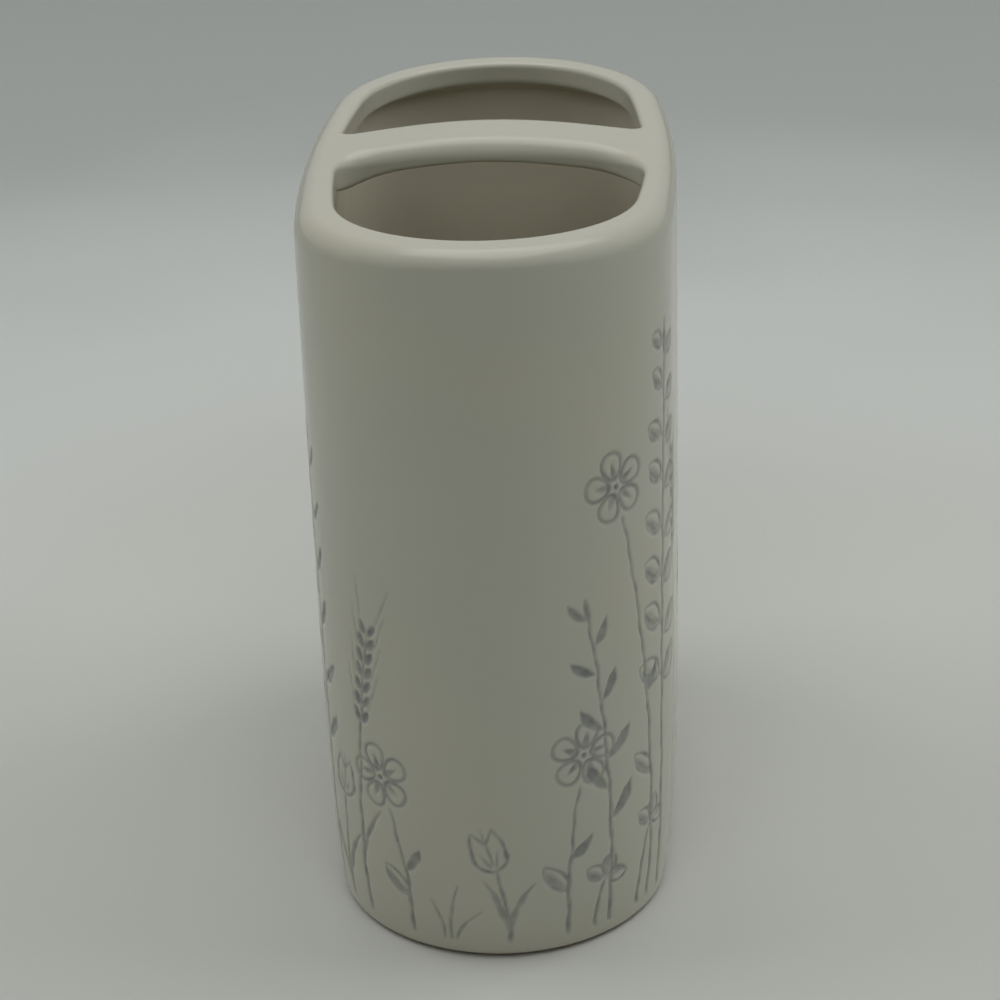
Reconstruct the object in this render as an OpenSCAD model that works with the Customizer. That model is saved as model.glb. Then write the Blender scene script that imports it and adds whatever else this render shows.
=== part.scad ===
// Two-compartment countertop holder in glazed, slip-cast earthenware.
// X runs across the holder, Y along its two compartments with the rear at +Y, and Z up.
// The origin is under the middle of the base, on the counter.

/* [Body] */
// Width across the holder, at the rim
body_w = 60; // [52:1:70]
// Length along the two compartments, at the rim
body_l = 110; // [100:1:125]
// Height of the rim above the counter
body_h = 120; // [100:1:135]
// Radius that bows the two long sides, seen from above
side_r = 300; // [200:10:450]
// Thickness of the cast wall
wall_t = 4; // [3:0.25:5]
// How far the walls swell outwards at half height
belly = 0.2; // [0:0.1:1.5]
// How far the walls draw in just above the foot
foot_draw = 1.3; // [0:0.1:2]
// Rounding between the walls and the rim
shoulder_r = 5; // [2:0.25:6]
// Rounding between the walls and the foot
foot_r = 1.2; // [0.8:0.1:4]

/* [Rim] */
// Thickness of the rim, from its top to its underside
rim_t = 4; // [3:0.25:6]
// Width of the mouth
mouth_w = 48.5; // [44:0.5:51]
// Length of the mouth
mouth_l = 95.5; // [85:0.5:97]
// Radius that bows the two long sides of the mouth
mouth_side_r = 300; // [150:10:400]
// Rounding between the underside of the rim and the inner wall
undercut_r = 2.5; // [1:0.25:4]

/* [Crossbar] */
// Width of the crossbar between the two openings
bar_w = 15.5; // [10:0.5:20]
// Thickness of the crossbar
bar_t = 3; // [2.75:0.25:5]
// How far the middle of the crossbar rises above the rim
bar_rise = 2.4; // [0.5:0.1:5]
// Rounding along the crossbar's top edges
bar_edge_r = 1.8; // [1:0.1:1.8]
// Rounding where the crossbar's top edges run out at its flared ends
bar_end_edge_r = 0.6; // [0.3:0.1:1]
// Rounding along the crossbar's lower edges
bar_under_r = 0.8; // [0.3:0.1:0.9]
// Radius of the flares that blend the crossbar into the rim, seen from above
bar_flare_r = 4.5; // [2:0.25:8]

/* [Base] */
// Thickness of the floor
floor_t = 5; // [3:0.25:8]
// Rounding between the floor and the inner wall
floor_r = 8; // [4:0.5:9]
// Width of the foot ring, from the foot's rounding to the recess
foot_ring_w = 5; // [3:0.25:6]
// Depth of the recess under the floor
recess_d = 1.4; // [1:0.1:2]
// Rounding inside the recess
recess_r = 0.8; // [0.3:0.1:0.9]

/* [Pads] */
// Diameter of a foot pad
pad_d = 9; // [6:0.5:11]
// How far the pads lift the foot ring off the counter
pad_lift = 0.4; // [0.3:0.1:1.5]
// Rounding of a pad's lower edge
pad_edge_r = 0.5; // [0.2:0.1:0.6]
// Space between a pad and the inside of the foot ring
pad_gap = 2.5; // [1:0.25:5]

/* [Hidden] */

GLAZE_COLOUR = [0.88, 0.87, 0.81];
PAD_COLOUR = [0.30, 0.30, 0.29];

// How far a cut runs past the surface that it opens
overrun = 1;
// How far the profile reaches inwards past the floor's rounding, to lap with the floor
lap = 2;

// How fast the draw at the foot fades up the wall: 2 for a taper all the way, more for a tucked foot
draw_share = 10;
// How closely the steps up a wall crowd towards the foot: 1 for even steps
crowd_share = 2;

// How fast the crossbar's arch eases into the rim: 1 for a plain parabola, more for a softer end
arch_share = 1.5;

// Steps on each curve
wall_steps = 9;
round_steps = 8;
small_steps = 4;
arch_steps = 12;
side_steps = 3;
end_steps = 36;
$fn = 180;

// An oval of four tangent arcs, from its half width, half length and side radius:
// the distance of the end arcs' centres from the middle, the end arcs' radius,
// and the angle at which a side arc hands over to an end arc.
function end_centre(a, b, r) = (pow(r - a, 2) - pow(r - b, 2)) / (2 * (r - b));
function end_radius(a, b, r) = b - end_centre(a, b, r);
function join_angle(a, b, r) = atan2(end_centre(a, b, r), r - a);

// Points on a circular arc, ends included
function arc(centre, r, from, to, steps) = [
    for (i = [0:steps])
        let (angle = from + (to - from) * i / steps)
        centre + r * [cos(angle), sin(angle)]
];

function reversed(points) = [for (i = [len(points) - 1:-1:0]) points[i]];
function mirrored_x(points) = [for (p = reversed(points)) [-p[0], p[1]]];
function turned(points) = [for (p = points) -p];

// Outline of an oval inset by a distance; its long sides are straight up to the angle seat,
// and it runs counter-clockwise from the right-hand side
function oval(a, b, r, inset, seat) =
    let (
        join = join_angle(a, b, r),
        centre = end_centre(a, b, r),
        side = arc([a - r, 0], r - inset, seat, join, side_steps),
        end = arc([0, centre], end_radius(a, b, r) - inset, join, 90, end_steps / 2),
        quarter = concat(side, [for (i = [1:len(end) - 1]) end[i]]),
        upper = concat(quarter, [for (i = [1:len(quarter) - 1]) mirrored_x(quarter)[i]])
    )
    concat(upper, turned(upper));

// Body, as offsets from its outline and heights

half_w = body_w / 2;
half_l = body_l / 2;
body_join = join_angle(half_w, half_l, side_r);
body_end_y = end_centre(half_w, half_l, side_r);
body_end_r = end_radius(half_w, half_l, side_r);

foot_z = pad_lift;
recess_z = foot_z + recess_d;
floor_z = recess_z + floor_t;
wall_h = body_h - foot_z;

// Offset of the outer wall from the rim's outline at a height
function swell(z) =
    let (share = (z - foot_z) / wall_h)
    belly * 4 * share * (1 - share) - foot_draw * pow(1 - share, draw_share);

// Points up a wall, from its foot to its top
function wall(low, high, inset) = [
    for (i = [0:wall_steps])
        let (z = low + (high - low) * pow(i / wall_steps, crowd_share))
        [swell(z) - inset, z]
];

shoulder_z = body_h - shoulder_r;
foot_top_z = foot_z + foot_r;
foot_edge = swell(foot_top_z) - foot_r;
recess_edge = foot_edge - foot_ring_w;
inner_top_z = body_h - rim_t - undercut_r;
inner_foot_z = floor_z + floor_r;
reach = wall_t + floor_r - swell(inner_foot_z) + lap;

body_profile = concat(
    [[-reach, recess_z]],
    arc([recess_edge - recess_r, recess_z - recess_r], recess_r, 90, 0, small_steps),
    [[recess_edge, foot_z]],
    arc([foot_edge, foot_top_z], foot_r, 270, 360, round_steps),
    wall(foot_top_z, shoulder_z, 0),
    arc([swell(shoulder_z) - shoulder_r, shoulder_z], shoulder_r, 0, 90, round_steps),
    [[-reach, body_h], [-reach, body_h - rim_t]],
    arc([swell(inner_top_z) - wall_t - undercut_r, inner_top_z], undercut_r, 90, 0, small_steps),
    reversed(wall(inner_foot_z, inner_top_z, wall_t)),
    arc([swell(inner_foot_z) - wall_t - floor_r, inner_foot_z], floor_r, 360, 270, round_steps),
    [[-reach, floor_z]]
);

// Mouth and crossbar

mouth_a = mouth_w / 2;
mouth_b = mouth_l / 2;
bar_half = bar_w / 2;
seat_half = bar_half + bar_flare_r;
seat_angle = asin(seat_half / mouth_side_r);
seat_x = mouth_a - mouth_side_r * (1 - cos(seat_angle));

// Height of the crossbar's top above the rim; it runs out level with the rim at both ends
function rise(x) = bar_rise * pow(max(0, 1 - pow(x / seat_x, 2)), arch_share);

// Stations along half of the crossbar: distance from the middle, half width and edge rounding
flare_start = seat_x - bar_flare_r;
bar_stations = concat(
    [
        for (i = [0:arch_steps - 1])
            [flare_start * i / arch_steps, bar_half, bar_edge_r]
    ],
    [
        for (i = [0:round_steps])
            let (angle = 90 * i / round_steps, share = 1 - cos(angle))
            [
                flare_start + bar_flare_r * sin(angle),
                bar_half + bar_flare_r * share,
                bar_edge_r + (bar_end_edge_r - bar_edge_r) * share
            ]
    ]
);

// One closed section of the crossbar across its width
function bar_section(x, half, edge_r) =
    let (
        top = body_h + rise(x),
        bottom = top - bar_t,
        low = bottom + bar_under_r,
        right = concat(
            arc([half - bar_under_r, low], bar_under_r, 270, 360, small_steps),
            arc([half - edge_r, top - edge_r], edge_r, 0, 90, round_steps)
        ),
        outline = concat(right, mirrored_x(right))
    )
    [for (p = outline) [x, p[0], p[1]]];

module swept(a, b, r, join) {
    for (side = [0, 1])
        mirror([side, 0, 0])
            translate([a - r, 0, 0])
                rotate_extrude(angle = 2 * join, start = -join)
                    translate([r, 0])
                        children();
    for (end = [0, 1])
        mirror([0, end, 0])
            translate([0, end_centre(a, b, r), 0])
                rotate_extrude(angle = 180 - 2 * join, start = join)
                    translate([end_radius(a, b, r), 0])
                        children();
}

// A skin through closed sections that all have as many points, capped at both ends
module loft(sections) {
    count = len(sections[0]);
    last = len(sections) - 1;
    polyhedron(
        points = [for (section = sections) each section],
        faces = concat(
            [[for (i = [0:count - 1]) i]],
            [
                for (s = [0:last - 1], i = [0:count - 1])
                    let (next = (i + 1) % count, here = s * count, there = here + count)
                    each [[here + i, there + i, there + next], [here + i, there + next, here + next]]
            ],
            [[for (i = [count - 1:-1:0]) last * count + i]]
        )
    );
}

// Cast body: one wall that runs over the foot and the rim, a recessed floor and the cut mouth
module body() {
    color(GLAZE_COLOUR)
        difference() {
            union() {
                swept(half_w, half_l, side_r, body_join)
                    polygon(body_profile);
                translate([0, 0, recess_z])
                    linear_extrude(floor_t)
                        polygon(oval(half_w, half_l, side_r, reach - lap / 2, 0));
            }
            translate([0, 0, body_h - rim_t - overrun])
                linear_extrude(rim_t + 2 * overrun)
                    polygon(oval(mouth_a, mouth_b, mouth_side_r, 0, seat_angle));
        }
}

// Crossbar: an arched strap with rounded edges, flared where it is luted to the rim
module crossbar() {
    left = [
        for (i = [len(bar_stations) - 1:-1:1])
            bar_section(-bar_stations[i][0], bar_stations[i][1], bar_stations[i][2])
    ];
    right = [for (s = bar_stations) bar_section(s[0], s[1], s[2])];
    color(GLAZE_COLOUR)
        loft(concat(left, right));
}

// One rubber foot pad, stuck to the floor inside the foot ring
pad_inset = -recess_edge + pad_gap + pad_d / 2;
pad_angle = 45;
pad_x = (body_end_r - pad_inset) * cos(pad_angle);
pad_y = body_end_y + (body_end_r - pad_inset) * sin(pad_angle);

module pad(side, end) {
    pad_r = pad_d / 2;
    color(PAD_COLOUR)
        translate([side * pad_x, end * pad_y, 0])
            rotate_extrude()
                polygon(concat(
                    [[0, 0]],
                    arc([pad_r - pad_edge_r, pad_edge_r], pad_edge_r, 270, 360, small_steps),
                    [[pad_r, recess_z], [0, recess_z]]
                ));
}

body();
crossbar();
pad(-1, -1);  // pad_front_left
pad(1, -1);  // pad_front_right
pad(-1, 1);  // pad_rear_left
pad(1, 1);  // pad_rear_right
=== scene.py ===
"""The looks of a glazed ceramic toothbrush holder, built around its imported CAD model.

The shell, rim and crossbar are one glazed surface, worked out as parametric patches that share
their edge points. A generic meadow of sprigs, ears and blossoms is pressed into the outer wall
and holds a grey stain. The rubber feet keep their CAD shape.
"""

import math

import bmesh
import bpy
import numpy as np
from mathutils import Matrix, Vector


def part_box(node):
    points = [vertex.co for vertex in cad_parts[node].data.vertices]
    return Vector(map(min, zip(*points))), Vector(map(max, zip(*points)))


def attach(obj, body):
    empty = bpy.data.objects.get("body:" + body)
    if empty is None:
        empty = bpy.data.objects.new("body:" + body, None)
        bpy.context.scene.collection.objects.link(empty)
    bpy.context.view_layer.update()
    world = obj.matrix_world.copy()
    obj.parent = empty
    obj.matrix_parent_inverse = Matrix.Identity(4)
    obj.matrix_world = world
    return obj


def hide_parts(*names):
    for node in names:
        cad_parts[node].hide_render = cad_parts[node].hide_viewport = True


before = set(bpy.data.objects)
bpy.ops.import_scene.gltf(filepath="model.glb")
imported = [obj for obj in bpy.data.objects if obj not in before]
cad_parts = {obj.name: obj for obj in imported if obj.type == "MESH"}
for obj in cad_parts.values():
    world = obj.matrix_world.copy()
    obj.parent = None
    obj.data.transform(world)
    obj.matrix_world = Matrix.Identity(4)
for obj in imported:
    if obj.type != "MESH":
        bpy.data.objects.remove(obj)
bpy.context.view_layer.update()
BODY_LOW, BODY_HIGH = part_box("body")
_, BAR_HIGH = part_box("crossbar")

bl_info = {
    "name": "Toothbrush Holder Looks",
    "version": (1, 0, 0),
    "blender": (4, 5, 0),
    "location": "3D View > Sidebar > Holder",
    "description": "Builds the glazed shell, the feet and the studio of a toothbrush holder",
    "category": "Object",
}

PAD_NODES = ("pad_front_left", "pad_front_right", "pad_rear_left", "pad_rear_right")
FOOT_PLANE = BODY_LOW[2]
RIGHT_ANGLE = math.pi / 2.0
MM_PER_METRE = 1000.0

# How far the glazed crossbar stays below the top of the CAD one, in metres.
ARCH_SPARE = 0.0002

# Lattice of the outer wall: fine cells along a coarse one, coarse cells round the plan and up the
# foot, wall and shoulder, and the fine rows that stay coarse at either edge of the wall.
FINE = 8
COLUMNS = 116
FOOT_ROWS = 4
WALL_ROWS = 46
SHOULDER_ROWS = 12
EDGE_CELLS = 2

# Half of the deck: segments of the shoulder's half ring, of each half of a flare, and of the line
# along the crossbar. The line's points lie evenly up to these shares of its right and left half.
HALF_RING = COLUMNS // 2
FLARE_RING = 6
FLARE_BAR = 5
BAR_SEGMENTS = 26
EVEN_SHARES = (0.70, 0.79)

# Rows of points on the patches inside the outer wall.
DECK_ROWS = 7
EDGE_TOP_ROWS = 9
EDGE_FACE_ROWS = 3
EDGE_LOW_ROWS = 5
UNDERCUT_ROWS = 6
INNER_ROWS = 16
FLOOR_BEND_ROWS = 9
FOOT_RING_ROWS = 4
RECESS_BEND_ROWS = 5
CLOSING_ROWS = 7

# Points of two patches that lie this near each other, in metres, are one point.
MERGE_DISTANCE = 2e-6

# The meadow on its wall, in mm: how far the groove and stain run outside a disc's rim and inside
# it, and the height at which the stems start. A lattice point counts as marked from a share on, a
# disc reaches a number of lattice steps, and the front end's middle lies three quarters round.
OUTSIDE_RIM = 0.16
GROOVE_INSIDE = 0.42
STAIN_INSIDE = 0.2
GROUND = 3.4
MARKED = 0.15
DISC_REACH = 7
FRONT_END = 0.75

# A hand-drawn line, in mm: the step between its discs, the length from which it sways in full,
# where its ends fade, its mean pressure, and the sines of its sway, width and pressure, each with
# its length, phase factor and size. The phase weighs the places of both ends.
DISC_STEP = 0.14
FULL_SWAY = 12.0
END_FADE = (-0.3, 1.2)
MEAN_PRESS = 0.88
SWAY = ((1.9, 1.0, 1.0), (0.83, 2.3, 0.6))
WIDTH = ((0.62, 1.7, 0.13),)
PRESSURE = ((1.35, 0.9, 0.14), (0.47, 3.1, 0.1))
START_WEIGHTS = (12.99, 7.23)
END_WEIGHTS = (3.17, 5.71)

# The range that a noise pattern's values mostly keep to.
NOISE = (0.3, 0.7)

# The most that the stain covers, the heights between which bare clay turns into glaze and how far
# they wander, the roughness of glaze, bare clay, rubber and floor, and the distances at which the
# floor's painted ring of light, its painted falloff to grey far off and its fade into the room
# begin and end.
STAIN_COVER = 0.92
CLAY_EDGE = (FOOT_PLANE + 0.0003, FOOT_PLANE + 0.0008)
CLAY_WANDER = 0.0003
GLAZE_ROUGH = (0.13, 0.19)
CLAY_ROUGH = 0.75
RUBBER_ROUGH = (0.62, 0.8)
FLOOR_ROUGH = (0.5, 0.62)
FLOOR_RANGES = ((0.13, 0.21), (0.22, 0.46), (0.7, 1.5))

# Sockets of the Mix node, whose names repeat: its share, its two values, its two colours, and the
# results for values and for colours.
MIX_SHARE = 0
MIX_VALUES = (2, 3)
MIX_COLOURS = (6, 7)
VALUE_RESULT = 0
COLOUR_RESULT = 2

# The room's grey, the floor's half side, points along it and drop below the feet, and the lamps:
# name, watts, size, place, and whether gloss shows them.
ROOM_GREY = (0.36, 0.36, 0.36, 1.0)
FLOOR_HALF = 12.0
FLOOR_POINTS = 9
FLOOR_DROP = 0.00005
LAMP_TARGET = (0.0, 0.0, 0.06)
LAMPS = (
    ("ceiling_lamp", 9.5, 1.5, (0.1, 0.2, 1.5), True),
    ("left_lamp", 5.3, 1.0, (-1.1, 0.3, 0.9), False),
    ("right_lamp", 5.7, 1.0, (1.1, 0.3, 0.9), False),
    ("front_lamp", 5.3, 1.2, (0.0, -0.9, 1.3), False),
)

# The photograph's camera: width, picture centre and focal length in pixels, distance in metres,
# and pitch, roll and yaw in degrees.
PICTURE = 1000.0
CENTRE_U, CENTRE_V = 500.67, 482.81
FOCAL = 2500.0
DISTANCE = 0.42753
CAMERA_ANGLES = (24.78, 1.92, -3.03)


# Settings


def metres(name, description, default, low, high):
    """A length setting with its limits."""
    return bpy.props.FloatProperty(
        name=name, description=description, default=default, min=low, max=high, unit="LENGTH")


def paint(name, description, default):
    """A colour setting."""
    return bpy.props.FloatVectorProperty(
        name=name, description=description, default=default, min=0.0, max=1.0, size=3,
        subtype="COLOR")


class HolderSizes(bpy.types.PropertyGroup):
    """Sizes of the glazed shell that the wall, rim and crossbar are worked out from."""

    half_width: metres(
        "Half width", "Half the plan's short side at the foot of the wall", 0.030, 0.02, 0.05)
    half_length: metres(
        "Half length", "Half the plan's long side at the foot of the wall", 0.055, 0.04, 0.09)
    side_radius: metres(
        "Side radius", "Radius of the plan's two long, nearly flat sides", 0.300, 0.1, 1.0)
    rim_height: metres(
        "Rim height", "Height of the rim above the surface the holder stands on",
        BODY_HIGH[2], 0.08, 0.2)
    wall: metres("Wall", "Thickness of the cast wall and rim", 0.004, 0.002, 0.006)
    belly: metres("Belly", "How far the walls swell at mid height", 0.00016, 0.0, 0.003)
    drift: metres(
        "Drift", "How far mid height leans over sideways, from drying", -0.00002, -0.001, 0.001)
    foot_draw: metres("Foot draw", "How far the wall tucks in just above its foot", 0.0014, 0.0, 0.003)
    foot_round: metres(
        "Foot rounding", "Radius between the wall and the foot ring", 0.0009, 0.0005, 0.004)
    shoulder_drop: metres(
        "Shoulder drop", "Height of the rolled shoulder at the long sides", 0.0042, 0.002, 0.008)
    shoulder_end_drop: metres(
        "Shoulder drop at the ends", "Height of the shoulder at the narrow ends", 0.0024, 0.002, 0.008)
    shoulder_end: metres(
        "Shoulder at the ends", "Reach of the rolled shoulder at the narrow ends", 0.0032, 0.002, 0.007)
    shoulder_side: metres(
        "Shoulder at the sides", "Reach of the rolled shoulder at the long sides",
        0.0036, 0.002, 0.0045)
    side_sag: metres(
        "Rim sag", "How far the rim sags at the middle of the long sides", 0.0004, 0.0, 0.001)
    end_lift: metres("Rim lift", "How far the rim rises at the narrow ends", 0.0004, 0.0, 0.001)
    mouth_half_width: metres(
        "Mouth half width", "Half the short side of the mouth cut in the rim", 0.0247, 0.018, 0.026)
    mouth_half_length: metres(
        "Mouth half length", "Half the long side of the mouth cut in the rim", 0.0482, 0.035, 0.05)
    mouth_radius: metres("Mouth side radius", "Radius of the mouth's two long sides", 0.215, 0.1, 1.0)
    front_shift: metres(
        "Front opening shift", "How far the hand-cut front opening lies off centre",
        0.0005, -0.001, 0.001)
    rear_shift: metres(
        "Rear opening shift", "How far the hand-cut rear opening lies off centre",
        -0.0001, -0.001, 0.001)
    rim_round: metres("Rim rounding", "Radius of the mouth's upper edge", 0.0009, 0.0003, 0.001)
    bar_half: metres("Crossbar half width", "Half the width of the crossbar", 0.0065, 0.004, 0.012)
    bar_shift: metres(
        "Crossbar shift", "How far the crossbar lies behind the middle", 0.00105, -0.001, 0.002)
    bar_waist: metres(
        "Crossbar waist", "How far its front edge draws in towards the ends", 0.0005, 0.0, 0.002)
    bar_waist_thick: metres(
        "Crossbar waist thickness", "Thickness added where the edge draws in", 0.00055, 0.0, 0.002)
    bar_thick: metres("Crossbar thickness", "Thickness of the crossbar", 0.00355, 0.0025, 0.006)
    bar_rise: metres(
        "Crossbar rise", "How far the crossbar arches above the rim",
        BAR_HIGH[2] - BODY_HIGH[2] - ARCH_SPARE, 0.0, 0.004)
    bar_end_thick: metres(
        "Crossbar end thickness", "Added thickness at the crossbar's left end", 0.0012, 0.0, 0.003)
    flare_right: metres(
        "Right flare", "Radius of the front right corner of crossbar and rim", 0.010, 0.002, 0.012)
    flare_left: metres(
        "Left flare", "Radius of the front left corner of crossbar and rim", 0.006, 0.002, 0.012)
    flare_rear: metres(
        "Rear flare", "Radius of the rear corners between crossbar and rim", 0.0022, 0.001, 0.006)
    bar_round_across: metres(
        "Crossbar rounding, across", "Reach of the rounding along its front edge",
        0.0030, 0.0005, 0.005)
    bar_round_down: metres(
        "Crossbar rounding, down", "Drop of the rounding along its front edge", 0.0025, 0.0005, 0.003)
    bar_round_rear: metres(
        "Crossbar rounding, rear", "Radius of the crossbar's rear upper edge", 0.0010, 0.0003, 0.002)
    floor: metres("Floor", "Thickness of the floor", 0.005, 0.002, 0.008)
    recess: metres("Recess", "Depth of the recess under the floor", 0.0014, 0.0005, 0.003)
    groove: metres("Groove depth", "Depth of the meadow pressed into the wall", 0.0003, 0.0, 0.0008)


class HolderColours(bpy.types.PropertyGroup):
    """Colours of the glaze, its stain, the bare clay, the feet and the floor, with painted light inside
    the cavity and painted light and shade on the floor.
    """

    glaze: paint("Glaze", "Ivory of the glaze", (0.560, 0.550, 0.447))
    glaze_cool: paint(
        "Glaze, cool patches", "Ivory where the glaze lies thinner", (0.548, 0.548, 0.461))
    # Painted light: the cavity gets a lighter, warmer ivory that stands in for the warm light bouncing
    # inside it, not for pooled glaze.
    glaze_painted_bounce: paint(
        "Glaze, inside", "Warmer ivory where the glaze pooled inside", (0.590, 0.564, 0.460))
    stain: paint("Stain", "Grey that lies in the pressed meadow", (0.215, 0.228, 0.225))
    clay: paint("Bare clay", "Unglazed clay of the foot ring", (0.520, 0.455, 0.370))
    rubber: paint("Feet", "Dark grey of the rubber feet", (0.075, 0.075, 0.072))
    floor: paint("Floor", "Pale grey of the floor near the holder", (0.592, 0.606, 0.568))
    # Painted light: the floor is painted brighter in a ring round the holder than next to it, as the
    # lamps' light would make it.
    floor_painted_light_ring: paint(
        "Floor, bright band", "Brighter ring of the floor behind the holder", (0.622, 0.650, 0.618))
    # Painted shade: the floor is painted greyer far from the holder, where the light falls off.
    floor_painted_falloff: paint("Floor, far off", "Grey of the floor far from the holder", (0.415, 0.442, 0.420))


# Plan, heights and sections


def smooth(value, low, high):
    """Rises from 0 at low to 1 at high along 3t squared minus 2t cubed."""
    t = np.clip((value - low) / (high - low), 0.0, 1.0)
    return t * t * (3.0 - 2.0 * t)


def between(first, second, share):
    """Goes straight from the first value at share 0 to the second at share 1."""
    return first + (second - first) * share


def bulge(share):
    """Rises from 0 at either end of a height to 1 halfway along it: 4s(1 - s)."""
    return 4.0 * share * (1.0 - share)


def steps(count, last=1.0):
    """Even steps from 0 to a last value, as a column."""
    return np.linspace(0.0, last, count)[:, None]


class Oval:
    """A four-arc oval: two side arcs of the side radius r, two end arcs tangent to them.

    With half width a and half length b, the end arcs' centres lie at y = +-c on the long axis,
    c = ((r - a)^2 - (r - b)^2) / (2 (r - b)), their radius is b - c, and the arcs join where the
    normal stands at atan(c / (r - a)) to the short axis.
    """

    def __init__(self, a, b, r):
        self.a = a
        self.r = r
        self.centre = ((r - a) ** 2 - (r - b) ** 2) / (2.0 * (r - b))
        self.end = b - self.centre
        self.join = math.atan2(self.centre, r - a)
        self.side_run = r * self.join
        self.quarter = self.side_run + self.end * (RIGHT_ANGLE - self.join)

    def at(self, turn, offset=0.0):
        """Points and unit normals at a share of the way round, moved out by an offset.

        The share counts arc length from the +x side, anticlockwise. Each quarter repeats the
        first one, mirrored in x, in y or in both.
        """
        q = np.mod(np.asarray(turn, float) * 4.0, 4.0)
        run = np.select([q <= 1, q <= 2, q <= 3], [q, 2 - q, q - 2], 4 - q) * self.quarter
        sign_x = np.where((q <= 1) | (q > 3), 1.0, -1.0)
        sign_y = np.where(q <= 2, 1.0, -1.0)
        on_side = run < self.side_run
        angle = np.where(on_side, run / self.r, self.join + (run - self.side_run) / self.end)
        radius = np.where(on_side, self.r, self.end)
        x = np.where(on_side, self.a - self.r, 0.0) + (radius + offset) * np.cos(angle)
        y = np.where(on_side, 0.0, self.centre) + (radius + offset) * np.sin(angle)
        return sign_x * x, sign_y * y, sign_x * np.cos(angle), sign_y * np.sin(angle)


class Shell:
    """The shell's formulas, taken from the sizes and from these powers and lengths in metres."""

    draw_power = 12
    ease_power = 8
    arch_power = 1.5
    arch_past_mouth = 0.0015
    arch_fade = (-0.002, 0.005)
    waist_run = 0.016
    thick_end = (0.014, 0.024)
    floor_round = 0.008
    ring_edge = 0.0074
    rim_under = 0.001
    side_under = 0.00045
    bar_under = 0.0008
    end_undercut = 0.0018
    side_undercut = 0.0003

    def __init__(self, sizes):
        self.s = sizes
        self.outer = Oval(sizes.half_width, sizes.half_length, sizes.side_radius)
        self.mouth = Oval(sizes.mouth_half_width, sizes.mouth_half_length, sizes.mouth_radius)
        self.top = sizes.rim_height
        self.straight_top = self.top - sizes.shoulder_drop
        self.recess_top = FOOT_PLANE + sizes.recess
        self.floor_top = self.recess_top + sizes.floor

    def share(self, z):
        """Height as a share of the wall, from the foot to the rim."""
        return np.clip((z - FOOT_PLANE) / (self.top - FOOT_PLANE), 0.0, 1.0)

    def lean(self, z):
        """How far the wall stands out of the plan at a height.

        With s the height as a share of the wall, the belly adds 4 belly s(1 - s), and the foot
        draws in by foot_draw (1 - s)^12, which is felt only near the foot.
        """
        s = self.share(z)
        return self.s.belly * bulge(s) - self.s.foot_draw * (1.0 - s) ** self.draw_power

    def drift(self, z):
        """How far the section has moved sideways: drift times 4s(1 - s), up to the shoulder."""
        return self.s.drift * bulge(self.share(np.minimum(z, self.straight_top)))

    def off_bar(self, y):
        """Distance from the crossbar's middle line."""
        return np.abs(y - self.s.bar_shift)

    def past_middle(self, x):
        """Rises from 0 in the middle of the crossbar's length to 1 near its flares."""
        return smooth(np.abs(x), 0.0, self.waist_run)

    def deck(self, x, y):
        """Height of the rim and crossbar.

        The rim sags towards the long sides as x squared and lifts towards the ends as y squared.
        The crossbar adds its rise times (1 - (x / reach)^2)^1.5, faded out past its own width.
        """
        sag = self.s.side_sag * (x / self.s.half_width) ** 2
        lift = self.s.end_lift * (y / self.s.half_length) ** 2
        reach = self.s.mouth_half_width + self.arch_past_mouth
        arch = np.clip(1.0 - (x / reach) ** 2, 0.0, 1.0) ** self.arch_power
        fade = 1.0 - smooth(self.off_bar(y) - self.s.bar_half, *self.arch_fade)
        return self.top - sag + lift + self.s.bar_rise * arch * fade

    def thickness(self, x, y):
        """Thickness of the rim, easing into the thinner crossbar, thicker at its left end."""
        bar = self.s.bar_thick + self.s.bar_end_thick * smooth(-x, *self.thick_end)
        bar = bar + self.s.bar_waist_thick * self.past_middle(x)
        far = smooth(self.off_bar(y) - self.s.bar_half, 0.0, self.s.flare_left)
        return between(bar, self.s.wall, far)

    def roof(self, x, y):
        """Height of the underside of the rim and crossbar."""
        return self.deck(x, y) - self.thickness(x, y)

    def shoulder_reach(self, nx):
        """Reach of the shoulder: longer at the narrow ends than at the long sides."""
        return between(self.s.shoulder_end, self.s.shoulder_side, nx**2)

    def shoulder_foot(self, nx):
        """Height where the shoulder starts: higher at the narrow ends than at the long sides."""
        return self.top - between(self.s.shoulder_end_drop, self.s.shoulder_drop, nx**2)

    def shoulder_edge(self, turn):
        """Points where the shoulder runs into the flat of the rim."""
        _, _, nx, _ = self.outer.at(turn)
        reach = self.shoulder_reach(nx)
        x, y, _, _ = self.outer.at(turn, self.lean(self.shoulder_foot(nx)) - reach)
        return x + self.drift(self.top), y

    def outside(self, turn, row):
        """The outer skin: foot rounding, wall and rolled shoulder.

        The foot is a quarter circle and the shoulder a quarter ellipse whose half axes are its
        reach and the height left to the deck above. Rows count coarse cells from the foot edge.
        """
        foot_round = self.s.foot_round
        foot = np.clip(row / FOOT_ROWS, 0.0, 1.0) * RIGHT_ANGLE
        wall = np.clip((row - FOOT_ROWS) / WALL_ROWS, 0.0, 1.0)
        roll = np.clip((row - FOOT_ROWS - WALL_ROWS) / SHOULDER_ROWS, 0.0, 1.0) * RIGHT_ANGLE
        _, _, nx, _ = self.outer.at(turn)
        shoulder_foot = self.shoulder_foot(nx)
        z = FOOT_PLANE + foot_round * (1.0 - np.cos(foot))
        z = z + wall * (shoulder_foot - FOOT_PLANE - foot_round)
        edge_x, edge_y = self.shoulder_edge(turn)
        offset = self.lean(z) - foot_round * (1.0 - np.sin(foot))
        offset = offset - self.shoulder_reach(nx) * (1.0 - np.cos(roll))
        side = self.drift(z)
        z = z + (self.deck(edge_x, edge_y) - shoulder_foot) * np.sin(roll)
        x, y, nx, ny = self.outer.at(turn, offset)
        return x + side, y, z, nx, ny


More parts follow.
